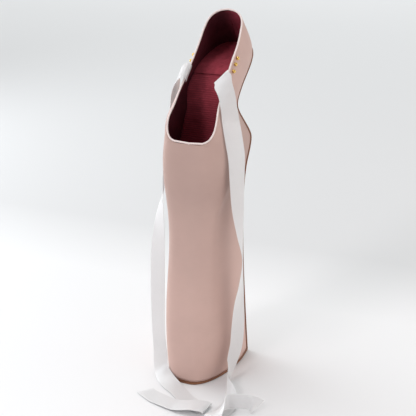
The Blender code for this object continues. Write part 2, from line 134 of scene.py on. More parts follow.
# Ribbon ties, as stations of the centre line (forward, side, height) with the direction
# across the band there. The side grows outward, so that both ties read the same way. A band
# that lies aslant to its line is widened, down to the slant limit.
SLANT_LIMIT = 0.6
LATERAL_RIBBON = (
    (51.5, 27.0, 438.5, 0.77, -0.02, -0.64),
    (57.0, 23.0, 445.5, 0.74, -0.14, -0.66),
    (62.4, 21.3, 452.3, 0.54, -0.56, -0.63),
    (67.0, 25.2, 449.5, 0.6, -0.6, -0.52),
    (73.6, 29.2, 443.2, 0.66, -0.64, -0.36),
    (81.0, 36.0, 433.4, 0.76, -0.63, -0.12),
    (88.2, 41.8, 418.2, 0.76, -0.65, 0.0),
    (92.4, 46.2, 400.5, 0.66, -0.75, 0.04),
    (90.2, 49.4, 377.5, 0.64, -0.77, 0.04),
    (85.2, 51.6, 350.0, 0.7, -0.71, 0.0),
    (83.0, 51.8, 318.0, 0.82, -0.57, 0.0),
    (82.0, 52.8, 280.0, 0.92, -0.39, 0.0),
    (80.5, 56.0, 240.0, 1.0, 0.0, 0.0),
    (79.8, 59.5, 205.0, 0.95, 0.3, 0.0),
    (78.5, 57.5, 165.0, 1.0, 0.09, 0.0),
    (76.5, 54.0, 130.0, 0.96, -0.26, 0.0),
    (74.0, 51.6, 90.0, 0.86, -0.51, 0.0),
    (73.0, 49.8, 62.0, 0.84, -0.54, 0.04),
    (76.0, 48.0, 45.0, 0.8, -0.52, 0.28),
    (81.2, 45.6, 31.0, 0.66, -0.34, 0.67),
    (87.0, 44.0, 20.0, 0.34, -0.1, 0.93),
    (94.5, 44.0, 13.4, 0.05, 0.03, 1.0),
    (104.0, 46.4, 12.5, 0.0, 0.03, 1.0),
    (114.0, 49.6, 12.4, 0.01, 0.1, 0.99),
    (124.8, 57.2, 10.8, 0.05, 0.5, 0.87),
    (136.2, 64.2, 5.8, 0.18, 0.88, 0.43),
    (147.0, 64.6, 1.8, 0.26, 0.96, 0.04),
    (160.0, 61.5, 1.0, 0.27, 0.96, 0.0),
    (178.0, 57.5, 1.0, 0.27, 0.96, 0.0),
    (188.0, 55.5, 1.6, 0.27, 0.96, 0.0),
    (193.0, 54.0, 6.0, 0.27, 0.96, 0.0),
    (188.0, 56.0, 10.6, 0.25, 0.95, 0.1),
    (176.0, 59.5, 13.2, 0.15, 0.75, 0.64),
    (164.0, 62.5, 15.0, 0.03, 0.2, 0.98),
    (156.5, 65.0, 15.0, 0.0, 0.0, 1.0),
    (153.6, 70.0, 15.0, 0.0, 0.0, 1.0),
    (151.4, 77.5, 15.0, 0.0, 0.0, 1.0),
    (148.0, 88.0, 14.6, 0.0, 0.0, 1.0),
    (146.6, 95.0, 13.4, -0.06, 0.0, 1.0),
    (146.2, 100.5, 11.8, -0.4, 0.28, 0.87),
    (143.5, 105.5, 7.2, -0.72, 0.52, 0.46),
)
MEDIAL_RIBBON = (
    (56.8, 26.7, 449.2, 0.78, 0.02, -0.62),
    (59.2, 25.9, 453.8, 0.78, 0.04, -0.62),
    (61.0, 30.0, 456.4, 0.78, 0.03, -0.62),
    (61.3, 35.5, 453.6, 0.78, 0.02, -0.62),
    (60.8, 40.0, 448.1, 0.8, 0.0, -0.6),
    (60.5, 43.0, 438.5, 0.9, 0.03, -0.43),
    (61.0, 45.0, 426.0, 0.97, 0.08, -0.22),
    (62.5, 47.5, 406.0, 0.99, 0.0, -0.15),
    (66.0, 51.0, 380.0, 0.98, -0.1, -0.15),
    (71.0, 55.0, 350.0, 0.97, -0.22, -0.06),
    (78.0, 55.5, 318.0, 0.98, -0.18, 0.0),
    (82.0, 57.5, 285.0, 0.93, -0.36, 0.0),
    (86.0, 62.0, 250.0, 0.64, -0.77, 0.0),
    (90.0, 65.0, 205.0, 0.25, -0.97, 0.0),
    (91.5, 66.5, 150.0, 0.1, -0.99, 0.0),
    (93.5, 67.0, 100.0, 0.18, -0.98, 0.0),
    (95.0, 66.2, 60.0, 0.2, -0.98, 0.0),
    (98.0, 63.2, 30.0, 0.1, -0.98, 0.1),
    (106.0, 59.6, 14.6, -0.15, -0.84, 0.52),
    (116.0, 52.3, 8.4, -0.48, -0.62, 0.62),
    (127.5, 38.2, 4.2, -0.66, -0.7, 0.28),
    (140.0, 18.0, 1.8, -0.76, -0.65, 0.04),
    (154.5, -1.5, 1.0, -0.91, -0.41, 0.0),
    (163.0, -20.0, 1.0, -0.98, -0.2, 0.0),
    (167.0, -34.0, 1.4, -0.98, -0.18, 0.0),
    (168.5, -39.5, 4.6, -0.98, -0.18, 0.0),
    (170.0, -34.0, 8.0, -0.98, -0.17, 0.0),
    (173.5, -19.0, 9.0, -0.99, -0.12, 0.0),
    (175.5, -6.0, 6.4, -0.99, -0.06, 0.0),
    (174.5, 8.0, 3.2, -1.0, 0.04, 0.0),
    (171.0, 24.0, 2.4, -0.99, 0.14, 0.0),
    (166.0, 42.0, 1.6, -0.96, 0.28, 0.0),
    (161.5, 52.5, 1.2, -0.97, -0.1, 0.0),
    (156.0, 62.3, 1.0, -0.7, -0.72, 0.0),
)

# The lateral wall's crease, as a side-view line: a soft ridge that runs from behind the ledge
# forward under the ball and down the corner of the block. Its fade gives the share of its
# rise at each height, and it dies away towards the middle of the toe.
SIDE_CREASE = (
    (12.0, 346.0), (40.0, 338.0), (58.0, 331.0), (74.0, 317.0), (86.5, 301.0), (95.0, 287.0),
    (99.0, 272.0), (99.6, 252.0), (98.7, 230.0), (97.9, 200.0), (98.2, 168.0), (99.6, 136.0),
    (102.5, 90.0), (106.0, 45.0), (108.0, 4.0),
)
SIDE_CREASE_FADE = ((4.0, 0.25), (90.0, 0.60), (168.0, 0.85), (230.0, 1.0), (287.0, 1.0),
                    (317.0, 0.55), (338.0, 0.0))
CREASE_RISE = 4.6
CREASE_WIDTH_BEHIND = 11.0
CREASE_WIDTH_AHEAD = 26.0
CREASE_TOE_FADE = 24.0

# The facing under the topline stands a little proud of the wall.
FACING_WIDTH = 8.5
FACING_EASE = 1.2
FACING_RISE = 0.22

# How finely the forms are divided
ARC_SAMPLES = 361
COLUMN_ROWS = 90
BALL_ROWS = 10
TOPLINE_ROWS = 100
WALL_COLUMNS = 60
PATH_STEPS = 8
CREASE_STEPS = 160
STRIP_COLUMNS = 20
SOLE_ROWS = 260
TOE_ROWS = 70
FOOTBED_ROWS = 200
RIBBON_STEPS = 6
RIBBON_COLUMNS = 12
FOLD_SIDES = 14
# Angles in degrees above which an edge stays sharp
BAND_SMOOTH = 50.0
WALL_SMOOTH = 60.0


# ---- sizes and colours

class BalletHeelSizes(PropertyGroup):
    """Sizes of the layers and trims that are dressed over the frame."""
    leather: FloatProperty(
        name="Leather", description="Thickness of the outer leather",
        default=0.0012, unit="LENGTH")
    lining: FloatProperty(
        name="Lining", description="Thickness of the suede lining",
        default=0.0008, unit="LENGTH")
    fold: FloatProperty(
        name="Topline fold", description="Radius of the leather folded over the topline",
        default=0.00125, unit="LENGTH")
    stud: FloatProperty(
        name="Stud radius", description="Radius of a ball stud",
        default=0.0026, unit="LENGTH")
    ribbon_width: FloatProperty(
        name="Ribbon width", description="Width of the satin ties",
        default=0.024, unit="LENGTH")
    ribbon_thickness: FloatProperty(
        name="Ribbon thickness", description="Thickness of the satin ties",
        default=0.0004, unit="LENGTH")


class BalletHeelColours(PropertyGroup):
    """Colours of the leather, suede, sole, metal, satin and floor."""
    blush: FloatVectorProperty(
        name="Blush leather", description="Colour of the outer leather",
        subtype="COLOR", default=(0.62, 0.428, 0.376))
    # Paler than the leather: a painted highlight along the folded topline
    fold: FloatVectorProperty(
        name="Folded edge", description="Colour of the folded edge at the topline",
        subtype="COLOR", default=(0.92, 0.80, 0.77))
    wine: FloatVectorProperty(
        name="Wine suede", description="Colour of the insole",
        subtype="COLOR", default=(0.56, 0.080, 0.116))
    lining: FloatVectorProperty(
        name="Lining suede", description="Colour of the lining",
        subtype="COLOR", default=(0.12, 0.018, 0.028))
    sole: FloatVectorProperty(
        name="Sole leather", description="Colour of the outsole",
        subtype="COLOR", default=(0.24, 0.095, 0.042))
    board: FloatVectorProperty(
        name="Block board", description="Colour of the block inside the leather",
        subtype="COLOR", default=(0.50, 0.40, 0.28))
    gold: FloatVectorProperty(
        name="Stud gold", description="Colour of the ball studs",
        subtype="COLOR", default=(0.76, 0.51, 0.155))
    satin: FloatVectorProperty(
        name="White satin", description="Colour of the ribbon ties",
        subtype="COLOR", default=(0.765, 0.775, 0.785))
    floor: FloatVectorProperty(
        name="Floor", description="Colour of the studio floor",
        subtype="COLOR", default=(0.835, 0.845, 0.855))


# ---- form of the last

def spline_table(rows, heights):
    """Natural cubic spline through a table's rows, read at the given first-column values."""
    table = np.array(rows, float)
    knots, values = table[:, 0], table[:, 1:]
    step = np.diff(knots)
    slope = np.diff(values, axis=0) / step[:, None]
    matrix = np.eye(len(knots))
    right = np.zeros_like(values)
    for i in range(1, len(knots) - 1):
        matrix[i, i - 1:i + 2] = step[i - 1], 2 * (step[i - 1] + step[i]), step[i]
        right[i] = 6 * (slope[i] - slope[i - 1])
    bend = np.linalg.solve(matrix, right)
    result = []
    for height in heights:
        i = int(np.clip(np.searchsorted(knots, height) - 1, 0, len(knots) - 2))
        low, high = (height - knots[i]) / step[i], (knots[i + 1] - height) / step[i]
        result.append(high * values[i] + low * values[i + 1]
                      + ((high ** 3 - high) * bend[i] + (low ** 3 - low) * bend[i + 1])
                      * step[i] ** 2 / 6)
    return np.array(result)


LEVELS = np.arange(SECTIONS[0][0], SECTIONS[-1][0] + 0.5, 0.5)
LEVEL_SIZES = spline_table(SECTIONS, LEVELS)


def size_at(name, height):
    """One named size of the level section, at one height or many."""
    return np.interp(height, LEVELS, LEVEL_SIZES[:, SECTION_COLUMNS.index(name) - 1])


def soft_share(share):
    """Rises from 0 to 1 like share itself, but starts level, so that no crease forms."""
    softness = 0.15
    full = math.hypot(1.0, softness) - softness
    return (np.hypot(share, softness) - softness) / full


def level_arc(heights, name, inset):
    """Level outlines from the front to the back: forward, side and share of the arc."""
    angle = np.linspace(0.0, math.pi, ARC_SAMPLES)
    along, across = np.cos(angle)[None, :], np.sin(angle)[None, :]
    sizes = {column: size_at(column, heights)[:, None] for column in SECTION_COLUMNS[1:]}
    ahead = along >= 0
    power = np.where(ahead, sizes["power_" + name], sizes["power_back"])
    share = np.abs(along) ** (2 / power)
    front = sizes["front"] - inset - sizes["wide_at"]
    back = sizes["back"] + BACK_INSET * inset - sizes["wide_at"]
    forward = sizes["wide_at"] + np.where(ahead, front, back) * share
    side = SIDES[name] * (sizes[name] - inset) * np.abs(across) ** (2 / power)
    side = side + np.where(ahead, sizes["toe_shift"] * soft_share(share), 0.0)
    step = np.hypot(np.diff(forward, axis=1), np.diff(side, axis=1))
    arc = np.concatenate([np.zeros((len(forward), 1)), np.cumsum(step, axis=1)], axis=1)
    return forward, side, arc / arc[:, -1:]


def share_of(points, name, inset):
    """Share of the level arc at which each side-view point lies."""
    forward, _, arc = level_arc(points[:, 1], name, inset)
    return np.array([np.interp(-point[0], -row, share)
                     for point, row, share in zip(points, forward, arc)])


def on_wall(heights, shares, name, inset):
    """Points (forward, side, height) at the given shares of the level arcs."""
    forward, side, arc = level_arc(heights, name, inset)
    return np.array([(np.interp(share, row, ahead), np.interp(share, row, aside), height)
                     for share, row, ahead, aside, height
                     in zip(shares, arc, forward, side, heights)])


def wall_at(points, name, inset=0.0):
    """Points on the wall that lie at the given side-view points."""
    points = np.array(points, float)
    return on_wall(points[:, 1], share_of(points, name, inset), name, inset)


def normals_at(points, name, inset=0.0):
    """Outward normals of the wall at side-view points, by small steps along the wall."""
    points = np.array(points, float)
    shares = share_of(points, name, inset)
    before, after = (on_wall(points[:, 1], np.clip(shares + step, 0, 1), name, inset)
                     for step in (-0.002, 0.002))
    below, above = (on_wall(points[:, 1] + step, shares, name, inset) for step in (-0.5, 0.5))
    return unit(SIDES[name] * np.cross(after - before, above - below))


def unit(vectors):
    """The same vectors, each of length one."""
    return vectors / np.linalg.norm(vectors, axis=-1, keepdims=True)


def place(point):
    """Point in the shoe's own terms, as a point of the frame in metres."""
    return Vector((point[1], BASE_MIDDLE - point[0], point[2])) * MM


# ---- side-view lines

def smooth_path(points, steps=PATH_STEPS):
    """Catmull-Rom curve through the points, with the given number of steps a span."""
    rows = [np.array(point, float) for point in points]
    rows = [2 * rows[0] - rows[1]] + rows + [2 * rows[-1] - rows[-2]]
    result = []
    for a, b, c, d in zip(rows, rows[1:], rows[2:], rows[3:]):
        for step in range(steps):
            t = step / steps
            result.append(0.5 * (2 * b + (c - a) * t + (2 * a - 5 * b + 4 * c - d) * t ** 2
                                 + (3 * b - a - 3 * c + d) * t ** 3))
    return np.array(result + [rows[-2]])


def offset_path(points, distance):
    """Side-view path moved sideways, to the right of its direction for a positive distance."""
    tangent = unit(np.gradient(points, axis=0))
    return points + distance * np.stack([tangent[:, 1], -tangent[:, 0]], axis=1)


def run_along(points):
    """Length of the path up to each of its points."""
    steps = np.linalg.norm(np.diff(points, axis=0), axis=1)
    return np.concatenate([[0.0], np.cumsum(steps)])


def spaced(points, count):
    """The path divided evenly by length, in as many dimensions as its points have."""
    length = run_along(points)
    wanted = np.linspace(0.0, 1.0, count) * length[-1]
    return np.stack([np.interp(wanted, length, points[:, i])
                     for i in range(points.shape[1])], axis=1)


def spaced_on_wall(points, count):
    """A side-view line divided evenly by its length on the wall."""
    return spaced(wall_at(points, "lateral"), count)[:, [0, 2]]


def crossing(points, apart):
    """Where a path crosses a line: the first point past it, and the point on it."""
    past = int(np.argmax(apart <= 0))
    share = apart[past - 1] / (apart[past - 1] - apart[past])
    return past, points[past - 1] + share * (points[past] - points[past - 1])


def until_back(points, inset=0.0):
    """Part of a side-view line, listed towards the heel, that lies ahead of the heel's back."""
    back = size_at("back", points[:, 1]) + BACK_INSET * inset
    past, end = crossing(points, points[:, 0] - back)
    return np.vstack([points[:past], end])


def topline(drop):
    """Edge of the opening from the throat to the back of the collar, a little lowered."""
    points = offset_path(smooth_path(TOPLINE_PATH), drop)[::-1]
    past, start = crossing(points, points[:, 0] - size_at("front", points[:, 1]))
    return until_back(np.vstack([start, points[past:]]))


def sole_edge(depth):
    """Line at the given depth inside the outsole's outer face, from the base to the heel."""
    return offset_path(smooth_path(SOLE_PATH), depth)


def footbed(depth):
    """Line at the given depth below the insole's top face, from the heel to the toes."""
    return offset_path(smooth_path(FOOTBED_PATH), depth)


# ---- mesh building

def add_piece(name, shape, finish, smooth_angle=40.0):
    """Object from a bmesh, shaded smooth, with its material."""
    mesh = bpy.data.meshes.new(name)
    shape.to_mesh(mesh)
    shape.free()
    mesh.shade_smooth()
    mesh.set_sharp_from_angle(angle=math.radians(smooth_angle))
    mesh.materials.append(finish)
    piece = bpy.data.objects.new(name, mesh)
    bpy.context.scene.collection.objects.link(piece)
    return piece


def settle(piece, slot, *nodes):
    """The piece rides on the shoe and hides the nodes it stands for; its slot is not used."""
    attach(piece, "root")
    if nodes:
        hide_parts(*nodes)
    return piece


def add_grid(shape, rows, flip):
    """Quads over rows of points."""
    made = [[shape.verts.new(place(point)) for point in row] for row in rows]
    for low, high in zip(made, made[1:]):
        for i in range(len(low) - 1):
            corners = (low[i], low[i + 1], high[i + 1], high[i])
            shape.faces.new(corners[::-1] if flip else corners)


def join_rings(shape, rings):
    """Quads from each ring of vertices to the next."""
    for near, far in zip(rings, rings[1:]):
        for k in range(len(near)):
            other = (k + 1) % len(near)
            shape.faces.new((near[k], near[other], far[other], far[k]))


def band_piece(name, rings, maps, finish):
    """Closed band over rings of points, with a map of its side and run in metres."""
    shape = bmesh.new()
    layer = shape.loops.layers.uv.new("run")
    made = [[shape.verts.new(place(point)) for point in ring] for ring in rings]
    spots = {vertex: spot for ring, row in zip(made, maps) for vertex, spot in zip(ring, row)}
    join_rings(shape, made)
    shape.faces.new(made[0][::-1])
    shape.faces.new(made[-1])
    for face in shape.faces:
        for loop in face.loops:
            loop[layer].uv = spots[loop.vert]
    bmesh.ops.recalc_face_normals(shape, faces=shape.faces)
    return add_piece(name, shape, finish, BAND_SMOOTH)


def wall_piece(name, low_line, high_line, inset, thickness, finish):
    """Both halves of a wall between two side-view lines, joined at the front and the heel."""
    shape = bmesh.new()
    for side_name in SIDES:
        low, high = (share_of(line, side_name, inset) for line in (low_line, high_line))
        shares = np.linspace(low, high, WALL_COLUMNS + 1, axis=1)
        heights = np.linspace(low_line[:, 1], high_line[:, 1], WALL_COLUMNS + 1, axis=1)
        rows = np.array([on_wall(*row, side_name, inset) for row in zip(heights, shares)])
        if inset == 0.0:
            rows = creased(rows, side_name)
        add_grid(shape, rows, side_name == "lateral")
    bmesh.ops.remove_doubles(shape, verts=shape.verts, dist=0.00002)
    bmesh.ops.dissolve_degenerate(shape, edges=shape.edges, dist=0.00001)
    piece = add_piece(name, shape, finish, WALL_SMOOTH)
    modifier = piece.modifiers.new("thickness", "SOLIDIFY")
    modifier.thickness = thickness
    modifier.offset = -1.0
    return piece


def off_line(points, line, name):
    """Distance of wall points from a side-view line, positive behind or under it, and the
    height of the line next to each."""
    path = spaced(wall_at(spaced(line, CREASE_STEPS), name), CREASE_STEPS)
    shape = points.shape[:-1]
    points = points.reshape(-1, 3)
    apart = np.linalg.norm(points[:, None] - path[None], axis=2)
    near = np.argmin(apart, axis=1)
    along = np.gradient(path, axis=0)[near]
    away = points - path[near]
    sign = np.sign(along[:, 2] * away[:, 0] - along[:, 0] * away[:, 2])
    return (sign * apart.min(axis=1)).reshape(shape), path[near][:, 2].reshape(shape)


def creased(points, name):
    """Wall points with the soft ridge of the lateral side and the raised facing."""
    normal = unit(np.cross(np.gradient(points, axis=0), np.gradient(points, axis=1)))
    normal *= np.sign(normal[:, :, 1].sum()) * SIDES[name]
    rise = np.zeros(points.shape[:2])
    if name == "lateral":
        distance, height = off_line(points, smooth_path(SIDE_CREASE), name)
        fade = np.interp(height, *np.array(SIDE_CREASE_FADE).T)
        fade = fade * np.clip(points[:, :, 1] / CREASE_TOE_FADE, 0.0, 1.0) ** 2
        width = np.where(distance > 0.0, CREASE_WIDTH_BEHIND, CREASE_WIDTH_AHEAD)
        rise += fade * CREASE_RISE * np.exp(-(distance / width) ** 2)
    rim, _ = off_line(points, topline(RIM_DROP), name)
    step = np.clip((FACING_WIDTH - np.abs(rim)) / FACING_EASE, 0.0, 1.0)
    rise += FACING_RISE * step * step * (3 - 2 * step)
    return points + normal * rise[:, :, None]


def strip(name, outer, inner, inset, edge, finish):
    """Closed strip between two side-view lines, as wide as the last, with rounded edges."""
    depths = np.array((0.0, 0.10, 0.28, 0.72, 0.90, 1.0))
    pulled = np.array((1.0, 0.35, 0.0, 0.0, 0.35, 1.0)) * edge
    run = run_along(outer)
    widths = {(side_name, depth): wall_at(outer + (inner - outer) * depth, side_name, inset)[:, 1]
              for side_name in SIDES for depth in depths}
    rings = []
    for i in range(len(outer)):
        ring = []
        for face_depth, order in ((0.0, 1), (1.0, -1)):
            low, high = widths["medial", face_depth][i], widths["lateral", face_depth][i]
            pull = min(edge, 0.45 * (high - low))
            for v in np.linspace(-1.0, 1.0, STRIP_COLUMNS + 1)[::order]:
                side = (low + high) / 2 + v * ((high - low) / 2 - pull)
                point = outer[i] + (inner[i] - outer[i]) * face_depth
                ring.append((point[0], side, point[1]))
            side_name, sign = ("lateral", -1) if order == 1 else ("medial", 1)
            steps = range(1, len(depths) - 1) if order == 1 else range(len(depths) - 2, 0, -1)
            for k in steps:
                point = outer[i] + (inner[i] - outer[i]) * depths[k]
                width = widths[side_name, depths[k]][i]
                ring.append((point[0], width + sign * min(pulled[k], pull), point[1]))
        rings.append(ring)
    maps = [[(point[1] * MM, length * MM) for point in ring] for ring, length in zip(rings, run)]
    return band_piece(name, rings, maps, finish)


# ---- materials

class Nodes:
    """Short way to build the nodes of one material, or of the world."""

    def __init__(self, name, kind="materials", shader="Principled BSDF"):
        self.owner = getattr(bpy.data, kind).new(name)
        self.owner.use_nodes = True
        self.tree = self.owner.node_tree
        self.shader = self.tree.nodes[shader]

    def add(self, kind, settings=None, **inputs):
        node = self.tree.nodes.new(kind)
        for key, value in (settings or {}).items():
            setattr(node, key, value)
        for key, value in inputs.items():
            self.set(node, key.replace("_", " "), value)
        return node

    def set(self, node, key, value):
        socket = node.inputs[int(key)] if key.isdigit() else node.inputs[key]
        if isinstance(value, bpy.types.NodeSocket):
            self.tree.links.new(value, socket)
        else:
            socket.default_value = value

    def place(self, scale=(1.0, 1.0, 1.0), uv=None):
        if uv:
            output = self.add("ShaderNodeUVMap", {"uv_map": uv}).outputs["UV"]
        else:
            output = self.add("ShaderNodeTexCoord").outputs["Object"]
        return self.add("ShaderNodeMapping", Vector=output, Scale=scale).outputs["Vector"]

    def axis(self, name, vector=None):
        return self.add("ShaderNodeSeparateXYZ", Vector=vector or self.place()).outputs[name]

    def eased(self, value, **ends):
        return self.add("ShaderNodeMapRange", {"interpolation_type": "SMOOTHSTEP"},
                        Value=value, **ends).outputs["Result"]

    def noise(self, scale, detail=2.0, roughness=0.5, vector=None):
        return self.add("ShaderNodeTexNoise", Vector=vector or self.place(), Scale=scale,
                        Detail=detail, Roughness=roughness).outputs["Fac"]

    def ramp(self, factor, *stops):
        node = self.add("ShaderNodeValToRGB", Fac=factor)
        while len(node.color_ramp.elements) < len(stops):
            node.color_ramp.elements.new(0.5)
        for element, (position, colour) in zip(node.color_ramp.elements, stops):
            element.position = position
            element.color = (*colour, 1.0)
        return node.outputs["Color"]

    def grey(self, factor, low, high):
        return self.add("ShaderNodeMapRange", Value=factor, To_Min=low,
                        To_Max=high).outputs["Result"]

    def mixed(self, factor, first, second, blend="MIX"):
        node = self.add("ShaderNodeMix", {"data_type": "RGBA", "blend_type": blend})
        self.set(node, "0", factor)
        for key, value in (("6", first), ("7", second)):
            self.set(node, key, value if isinstance(value, bpy.types.NodeSocket)
                     else (*value, 1.0))
        return node.outputs[2]

    def toned(self, base, factor, tones):
        """The base times a tone that follows the factor, and may be brighter than the base."""
        peak = max(level for _, level in tones)
        tone = self.ramp(factor, *[(share, (level / peak,) * 3) for share, level in tones])
        return self.mixed(1.0, self.mixed(1.0, base, tone, "MULTIPLY"), (peak,) * 3, "MULTIPLY")

    def bump(self, height, strength, distance, normal=None):
        node = self.add("ShaderNodeBump", Height=height, Strength=strength, Distance=distance)
        if normal:
            self.set(node, "Normal", normal)
        return node.outputs["Normal"]

    def math(self, operation, first, second=0.0):
        node = self.add("ShaderNodeMath", {"operation": operation})
        self.set(node, "0", first)
        self.set(node, "1", second)
        return node.outputs[0]

    def finish(self, **inputs):
        for key, value in inputs.items():
            self.set(self.shader, key.replace("_", " "), value)
        return self.owner


def tint(colour, factor):
    """The colour, lighter for a factor over one and darker under it."""
    return tuple(min(1.0, channel * factor) for channel in colour)


# Painted light and shade on the hide up the shoe, at shares of a height in metres: lighter near
# the floor and darker across the vamp
SHADING_HEIGHT = 0.525
LEATHER_PAINTED_SHADING = ((0.0, 1.12), (0.22, 1.09), (0.42, 0.96), (0.58, 0.82), (0.68, 0.84),
                 (0.84, 1.0))
# Painted shade and light on the lining: where across the shoe it turns from the darker medial
# side, shaded by its own wall, to the lighter lateral side, and its tone on either side
LINING_SIDE_SHADING = ((-0.010, 0.45), (0.014, 2.6))
# From one rib of the insole to the next
RIB_PITCH = 0.0030
# Painted shade and light on the floor away from the camera, at shares of its reach: darker just
# behind the shoe and lighter far off, where the lamps' light falls away
FLOOR_REACH = 4.0
FLOOR_PAINTED_LIGHT = ((0.0, 1.0), (0.055, 1.0), (0.11, 0.84), (1.0, 1.15))


def leather_finish(colour):
    """Smooth blush leather with a fine closed grain, and painted light and shade up the shoe."""
    nodes = Nodes("blush_leather_finish")
    cloud = nodes.noise(14.0, 4.0, 0.55)
    base = nodes.ramp(cloud, (0.25, tint(colour, 0.93)), (0.75, tint(colour, 1.05)))
    # Painted light and shade: lighter low down, where the floor lights it, and darker across the
    # vamp
    up = nodes.math("DIVIDE", nodes.axis("Z"), SHADING_HEIGHT)
    base = nodes.toned(base, up, LEATHER_PAINTED_SHADING)
    grain = nodes.add("ShaderNodeTexVoronoi", {"feature": "DISTANCE_TO_EDGE"},
                      Vector=nodes.place(), Scale=1300.0).outputs["Distance"]
    pores = nodes.bump(grain, 0.10, 0.0002)
    soft = nodes.bump(nodes.noise(60.0, 3.0), 0.12, 0.0008, pores)
    return nodes.finish(Base_Color=base, Roughness=nodes.grey(cloud, 0.46, 0.56), Normal=soft,
                        Specular_IOR_Level=0.35)


def fold_highlight_finish(colour):
    """Skived leather folded over the edge, painted paler than the blush leather as a highlight
    along the topline.
    """
    nodes = Nodes("folded_edge_highlight_finish")
    cloud = nodes.noise(90.0, 3.0)
    base = nodes.ramp(cloud, (0.3, tint(colour, 0.94)), (0.7, tint(colour, 1.04)))
    return nodes.finish(Base_Color=base, Roughness=0.45,
                        Normal=nodes.bump(nodes.noise(700.0), 0.10, 0.0002))


def suede_finish(colour, name, ribbed, turn=None):
    """Napped wine suede, with the fine cross ribs of the footbed and painted shade in their
    grooves where it is ribbed, and painted shade on the medial side and painted light on the
    lateral side where a turn is given.
    """
    nodes = Nodes(name)
    nap = nodes.noise(1600.0, 3.0, 0.6)
    brushed = nodes.noise(90.0, 4.0, 0.65)
    base = nodes.ramp(brushed, (0.30, tint(colour, 0.70)), (0.72, tint(colour, 1.25)))
    normal = nodes.bump(nap, 0.5, 0.0004)
    # Painted shade on the medial side and painted light on the lateral side, across the given
    # turn
    if turn:
        (low, dark), (high, light) = turn
        tone = nodes.eased(nodes.axis("X"), From_Min=low, From_Max=high, To_Min=dark,
                           To_Max=light)
        base = nodes.mixed(1.0, base, tone, "MULTIPLY")
    if ribbed:
        waver = nodes.noise(1.0, 2.0, 0.5, nodes.place((25.0, 120.0, 1.0), uv="run"))
        along = nodes.axis("Y", nodes.place(uv="run"))
        phase = nodes.math("MULTIPLY", along, 2 * math.pi / RIB_PITCH)
        phase = nodes.math("ADD", phase, nodes.math("MULTIPLY", waver, 5.0))
        rib = nodes.grey(nodes.math("SINE", phase), 0.25, 0.75)
        streak = nodes.noise(1.0, 3.0, 0.7, nodes.place((60.0, 900.0, 1.0), uv="run"))
        factor = nodes.math("MULTIPLY", rib, nodes.grey(streak, 0.3, 1.4))
        # Painted shade: the grooves between the ribs are darker than their crests
        base = nodes.mixed(factor, tint(colour, 0.45), base)
        normal = nodes.bump(rib, 0.55, 0.0005, normal)
    return nodes.finish(Base_Color=base, Roughness=0.90, Normal=normal, Sheen_Weight=0.35,
                        Sheen_Roughness=0.45, Sheen_Tint=(*tint(colour, 4.0), 1.0),
                        Specular_IOR_Level=0.2)


def sole_finish(colour):
    """Waxed brown sole leather, with a streaked fibre."""
    nodes = Nodes("sole_leather_finish")
    fibre = nodes.noise(1.0, 4.0, 0.6, nodes.place((60.0, 60.0, 420.0)))
    base = nodes.ramp(fibre, (0.30, tint(colour, 0.75)), (0.70, tint(colour, 1.25)))
    normal = nodes.bump(nodes.noise(500.0, 3.0), 0.15, 0.0003)
    return nodes.finish(Base_Color=base, Roughness=nodes.grey(fibre, 0.38, 0.55), Normal=normal,
                        Coat_Weight=0.15, Coat_Roughness=0.25)


def board_finish(colour):
    """Pressed board of the block inside the leather."""
    nodes = Nodes("block_board_finish")
    grains = nodes.add("ShaderNodeTexVoronoi", Vector=nodes.place(), Scale=260.0)
    base = nodes.ramp(grains.outputs["Distance"], (0.1, tint(colour, 1.1)),
                      (0.8, tint(colour, 0.6)))
    return nodes.finish(Base_Color=base, Roughness=0.85,
                        Normal=nodes.bump(grains.outputs["Distance"], 0.3, 0.0005))


def gold_finish(colour):
    """Polished gold with faint handling marks."""
    nodes = Nodes("polished_gold_finish")
    marks = nodes.noise(900.0, 4.0, 0.6)
    base = nodes.ramp(marks, (0.3, tint(colour, 0.92)), (0.7, tint(colour, 1.05)))
    return nodes.finish(Base_Color=base, Metallic=1.0, Roughness=nodes.grey(marks, 0.10, 0.18))


def satin_finish(colour):
    """White satin ribbon: fine lengthways floats, a faint cross weft and a soft sheen."""
    nodes = Nodes("white_satin_finish")
    floats = nodes.noise(1.0, 3.0, 0.6, nodes.place((5200.0, 130.0, 1.0), uv="run"))
    weft = nodes.noise(1.0, 2.0, 0.5, nodes.place((260.0, 3800.0, 1.0), uv="run"))
    base = nodes.ramp(floats, (0.25, tint(colour, 0.95)), (0.75, tint(colour, 1.03)))
    normal = nodes.bump(floats, 0.12, 0.0002)
    normal = nodes.bump(weft, 0.08, 0.0002, normal)
    return nodes.finish(Base_Color=base, Roughness=nodes.grey(floats, 0.30, 0.42),
                        Normal=normal, Sheen_Weight=0.15, Sheen_Roughness=0.35,
                        Specular_IOR_Level=0.9, Coat_Weight=0.25, Coat_Roughness=0.30,
                        Subsurface_Weight=0.45, Subsurface_Radius=(1.0, 1.0, 1.0),
                        Subsurface_Scale=0.002)


def floor_finish(colour):
    """Plain matt floor, with painted shade just behind the shoe and painted light far off."""
    nodes = Nodes("studio_floor_finish")
    cloud = nodes.noise(0.8, 2.0)
    near = nodes.ramp(cloud, (0.3, tint(colour, 0.995)), (0.7, tint(colour, 1.005)))
    reach = nodes.math("DIVIDE", nodes.axis("Y"), FLOOR_REACH)
    # Painted shade and light across the floor
    base = nodes.toned(near, reach, FLOOR_PAINTED_LIGHT)
    return nodes.finish(Base_Color=base, Roughness=0.9, Specular_IOR_Level=0.2)


# ---- operators

CAMERA_PLACE = (0.3797, -0.9659, 0.7069)
CAMERA_TURN = 21.45
CAMERA_PITCH = 23.254
CAMERA_ROLL = -0.447
CAMERA_LENS = 69.28
SENSOR = 36.0
CLIP_END = 50.0
FLOOR_RADIUS = 14.0
FLOOR_DROP = 0.0002

